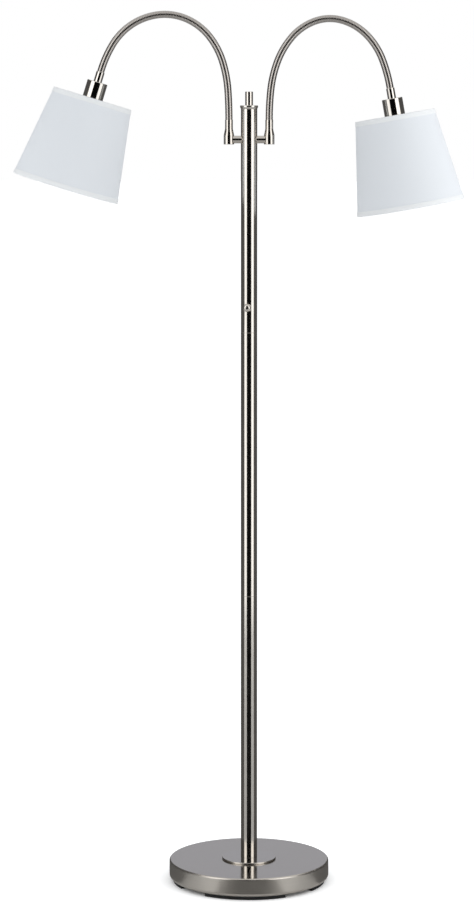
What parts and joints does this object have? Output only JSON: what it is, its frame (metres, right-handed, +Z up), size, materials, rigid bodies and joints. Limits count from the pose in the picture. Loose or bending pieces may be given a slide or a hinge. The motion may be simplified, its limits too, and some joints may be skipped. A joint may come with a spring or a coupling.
{
  "type": "two-light gooseneck floor lamp",
  "caption": "Floor lamp with a round weighted base, a slim brushed nickel pole, and goosenecks that each carry a tapered white fabric shade.",
  "frame": {"origin": "on the floor under the pole's axis, at the centre of the base pad's underside", "axes": "+Z up along the pole; +X to the right as the lamp is looked at, along the arms; +Y to the back, where the cord leaves the base"},
  "size_m": [0.785, 0.2814, 1.5232],
  "materials": {
    "brushed_nickel": "satin",
    "brushed_nickel_neck": "satin",
    "zinc_plated_steel": "satin",
    "black_rubber": "matte",
    "cast_filler": "matte",
    "white_linen": "matte",
    "white_trim": "matte",
    "white_frame_wire": "satin",
    "black_phenolic": "satin",
    "white_phenolic": "satin",
    "brass_contact": "satin",
    "bulb_aluminium": "satin",
    "frosted_glass": "satin",
    "wire_insulation": "satin"
  },
  "bodies": {
    "stand": {"base_cover": "brushed_nickel", "base_weight": "cast_filler", "base_pad": "black_rubber", "base_foot_disc": "brushed_nickel", "base_nipple": "zinc_plated_steel", "base_washer": "zinc_plated_steel", "base_nut": "zinc_plated_steel", "cord_bushing": "black_rubber", "pole_lower": "brushed_nickel", "pole_middle": "brushed_nickel", "pole_upper": "brushed_nickel", "pole_foot_insert": "zinc_plated_steel", "pole_sockets": "zinc_plated_steel", "pole_studs": "zinc_plated_steel", "pole_hub": "zinc_plated_steel", "pole_cap": "brushed_nickel", "finial": "brushed_nickel", "pole_wires": "wire_insulation", "arm_stubs": "brushed_nickel", "neck_elbows": "brushed_nickel", "switch_body": "black_phenolic", "switch_ring_nut": "brushed_nickel"},
    "switch_knob": {"switch_shaft": "zinc_plated_steel", "switch_knob": "brushed_nickel"},
    "left_neck_length_1": {"left_neck_length_1": "brushed_nickel_neck"},
    "left_neck_length_2": {"left_neck_length_2": "brushed_nickel_neck"},
    "left_neck_length_3": {"left_neck_length_3": "brushed_nickel_neck"},
    "left_neck_length_4": {"left_neck_length_4": "brushed_nickel_neck"},
    "left_neck_length_5": {"left_neck_length_5": "brushed_nickel_neck"},
    "left_neck_length_6": {"left_neck_length_6": "brushed_nickel_neck"},
    "left_neck_length_7": {"left_neck_length_7": "brushed_nickel_neck"},
    "left_neck_length_8": {"left_neck_length_8": "brushed_nickel_neck"},
    "left_head": {"left_ferrule": "brushed_nickel", "left_socket_cup": "brushed_nickel", "left_lampholder": "white_phenolic", "left_lampholder_contacts": "brass_contact", "left_bulb_cap": "bulb_aluminium", "left_bulb_glass": "frosted_glass", "left_shade_ring_nut": "white_phenolic", "left_shade_frame": "white_frame_wire", "left_shade_fabric": "white_linen", "left_shade_trims": "white_trim"},
    "right_neck_length_1": {"right_neck_length_1": "brushed_nickel_neck"},
    "right_neck_length_2": {"right_neck_length_2": "brushed_nickel_neck"},
    "right_neck_length_3": {"right_neck_length_3": "brushed_nickel_neck"},
    "right_neck_length_4": {"right_neck_length_4": "brushed_nickel_neck"},
    "right_neck_length_5": {"right_neck_length_5": "brushed_nickel_neck"},
    "right_neck_length_6": {"right_neck_length_6": "brushed_nickel_neck"},
    "right_neck_length_7": {"right_neck_length_7": "brushed_nickel_neck"},
    "right_neck_length_8": {"right_neck_length_8": "brushed_nickel_neck"},
    "right_head": {"right_ferrule": "brushed_nickel", "right_socket_cup": "brushed_nickel", "right_lampholder": "white_phenolic", "right_lampholder_contacts": "brass_contact", "right_bulb_cap": "bulb_aluminium", "right_bulb_glass": "frosted_glass", "right_shade_ring_nut": "white_phenolic", "right_shade_frame": "white_frame_wire", "right_shade_fabric": "white_linen", "right_shade_trims": "white_trim"}
  },
  "joints": [
    {"name": "switch_turn", "type": "hinge", "parent": "stand", "child": "switch_knob", "pos_m": [0, 0, 1.0081], "axis": [-0.1822, -0.9833, 0], "continuous": true},
    {"name": "left_neck_bend", "type": "hinge", "parent": "stand", "child": "left_neck_length_1", "pos_m": [-0.035, 0, 1.33577], "axis": [0, 1, 0], "range_deg": [-4, 16]},
    {"name": "left_neck_swing", "type": "hinge", "parent": "left_neck_length_1", "child": "left_neck_length_2", "pos_m": [-0.03674, 0, 1.38553], "axis": [-0.9976, 0, -0.0698], "range_deg": [-18, 18]},
    {"name": "left_neck_bend_2", "type": "hinge", "parent": "left_neck_length_2", "child": "left_neck_length_3", "pos_m": [-0.04579, 0, 1.43439], "axis": [0, 1, 0], "range_deg": [-4, 16]},
    {"name": "left_neck_swing_2", "type": "hinge", "parent": "left_neck_length_3", "child": "left_neck_length_4", "pos_m": [-0.06866, 0, 1.47832], "axis": [-0.788, 0, -0.6157], "range_deg": [-18, 18]},
    {"name": "left_neck_bend_3", "type": "hinge", "parent": "left_neck_length_4", "child": "left_neck_length_5", "pos_m": [-0.10751, 0, 1.50867], "axis": [0, 1, 0], "range_deg": [-4, 16]},
    {"name": "left_neck_swing_3", "type": "hinge", "parent": "left_neck_length_5", "child": "left_neck_length_6", "pos_m": [-0.15614, 0, 1.51638], "axis": [0.1045, 0, -0.9945], "range_deg": [-18, 18]},
    {"name": "left_neck_bend_4", "type": "hinge", "parent": "left_neck_length_6", "child": "left_neck_length_7", "pos_m": [-0.20265, 0, 1.49991], "axis": [0, 1, 0], "range_deg": [-4, 16]},
    {"name": "left_neck_swing_4", "type": "hinge", "parent": "left_neck_length_7", "child": "left_neck_length_8", "pos_m": [-0.23695, 0, 1.46439], "axis": [0.8572, 0, -0.515], "range_deg": [-18, 18]},
    {"name": "left_neck_bend_5", "type": "hinge", "parent": "left_neck_length_8", "child": "left_head", "pos_m": [-0.25715, 0, 1.41901], "axis": [0, 1, 0], "range_deg": [-4, 16]},
    {"name": "right_neck_bend", "type": "hinge", "parent": "stand", "child": "right_neck_length_1", "pos_m": [0.035, 0, 1.33577], "axis": [0, -1, 0], "range_deg": [-4, 16]},
    {"name": "right_neck_swing", "type": "hinge", "parent": "right_neck_length_1", "child": "right_neck_length_2", "pos_m": [0.0376, 0, 1.38548], "axis": [-0.9945, 0, 0.1045], "range_deg": [-18, 18]},
    {"name": "right_neck_bend_2", "type": "hinge", "parent": "right_neck_length_2", "child": "right_neck_length_3", "pos_m": [0.04878, 0, 1.43388], "axis": [0, -1, 0], "range_deg": [-4, 16]},
    {"name": "right_neck_swing_2", "type": "hinge", "parent": "right_neck_length_3", "child": "right_neck_length_4", "pos_m": [0.07355, 0, 1.47679], "axis": [-0.766, 0, 0.6428], "range_deg": [-18, 18]},
    {"name": "right_neck_bend_3", "type": "hinge", "parent": "right_neck_length_4", "child": "right_neck_length_5", "pos_m": [0.11388, 0, 1.50503], "axis": [0, -1, 0], "range_deg": [-4, 16]},
    {"name": "right_neck_swing_3", "type": "hinge", "parent": "right_neck_length_5", "child": "right_neck_length_6", "pos_m": [0.16281, 0, 1.50631], "axis": [0.2924, 0, 0.9563], "range_deg": [-18, 18]},
    {"name": "right_neck_bend_4", "type": "hinge", "parent": "right_neck_length_6", "child": "right_neck_length_7", "pos_m": [0.20481, 0, 1.48057], "axis": [0, -1, 0], "range_deg": [-4, 16]},
    {"name": "right_neck_swing_4", "type": "hinge", "parent": "right_neck_length_7", "child": "right_neck_length_8", "pos_m": [0.23139, 0, 1.43885], "axis": [0.9336, 0, 0.3584], "range_deg": [-18, 18]},
    {"name": "right_neck_bend_5", "type": "hinge", "parent": "right_neck_length_8", "child": "right_head", "pos_m": [0.24468, 0, 1.39094], "axis": [0, -1, 0], "range_deg": [-4, 16]}
  ],
  "couplings": [
    {"joint": "left_neck_bend_2", "follows": "left_neck_bend", "ratio": 1},
    {"joint": "left_neck_swing_2", "follows": "left_neck_swing", "ratio": 1},
    {"joint": "left_neck_bend_3", "follows": "left_neck_bend", "ratio": 1},
    {"joint": "left_neck_swing_3", "follows": "left_neck_swing", "ratio": 1},
    {"joint": "left_neck_bend_4", "follows": "left_neck_bend", "ratio": 1},
    {"joint": "left_neck_swing_4", "follows": "left_neck_swing", "ratio": 1},
    {"joint": "left_neck_bend_5", "follows": "left_neck_bend", "ratio": 1},
    {"joint": "right_neck_bend_2", "follows": "right_neck_bend", "ratio": 1},
    {"joint": "right_neck_swing_2", "follows": "right_neck_swing", "ratio": 1},
    {"joint": "right_neck_bend_3", "follows": "right_neck_bend", "ratio": 1},
    {"joint": "right_neck_swing_3", "follows": "right_neck_swing", "ratio": 1},
    {"joint": "right_neck_bend_4", "follows": "right_neck_bend", "ratio": 1},
    {"joint": "right_neck_swing_4", "follows": "right_neck_swing", "ratio": 1},
    {"joint": "right_neck_bend_5", "follows": "right_neck_bend", "ratio": 1}
  ]
}
